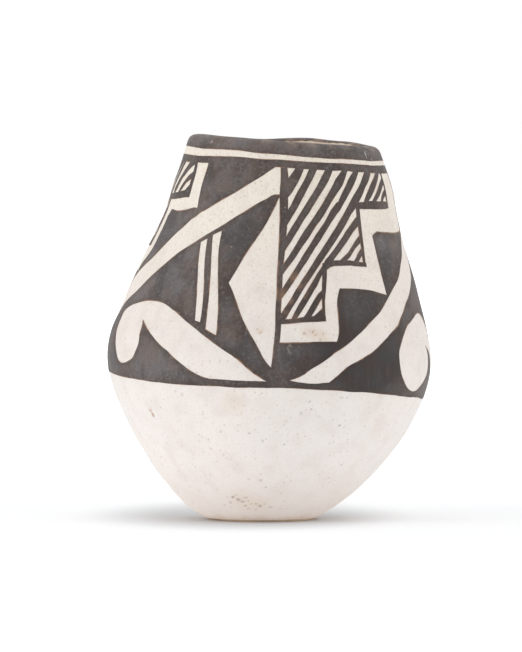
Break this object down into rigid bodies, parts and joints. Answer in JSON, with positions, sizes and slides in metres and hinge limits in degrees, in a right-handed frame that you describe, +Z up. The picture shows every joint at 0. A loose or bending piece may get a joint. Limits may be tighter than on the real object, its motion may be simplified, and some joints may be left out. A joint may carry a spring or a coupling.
{
  "type": "pueblo pottery jar",
  "caption": "Small hand-coiled earthenware jar with a wide belly, tapering shoulder and open mouth, white slip and a dark painted design of steps, hatching and curves.",
  "frame": {"origin": "where the jar's own axis meets the floor, on the flat of the foot", "axes": "+Z up; the axis leans 5.2 degrees towards +X; the bar at the front of the design looks along -Y"},
  "size_m": [0.0881, 0.0882, 0.1058],
  "materials": {
    "clay": "bare fired clay, matte",
    "slip": "rubbed white slip, satin",
    "paint": "mineral paint, satin"
  },
  "bodies": {
    "root": {"base_bowl": "clay", "wall_coil_1": "clay", "wall_coil_2": "clay", "wall_coil_3": "clay", "wall_coil_4": "clay", "wall_coil_5": "clay", "wall_coil_6": "clay", "wall_coil_7": "clay", "rim_coil": "clay", "white_slip": "slip", "rim_band": "paint", "top_line": "paint", "bottom_line": "paint", "panel_bar_1": "paint", "panel_fill_1": "paint", "hatching_1": "paint", "panel_bar_2": "paint", "panel_fill_2": "paint", "hatching_2": "paint", "panel_bar_3": "paint", "panel_fill_3": "paint", "hatching_3": "paint"}
  },
  "joints": []
}
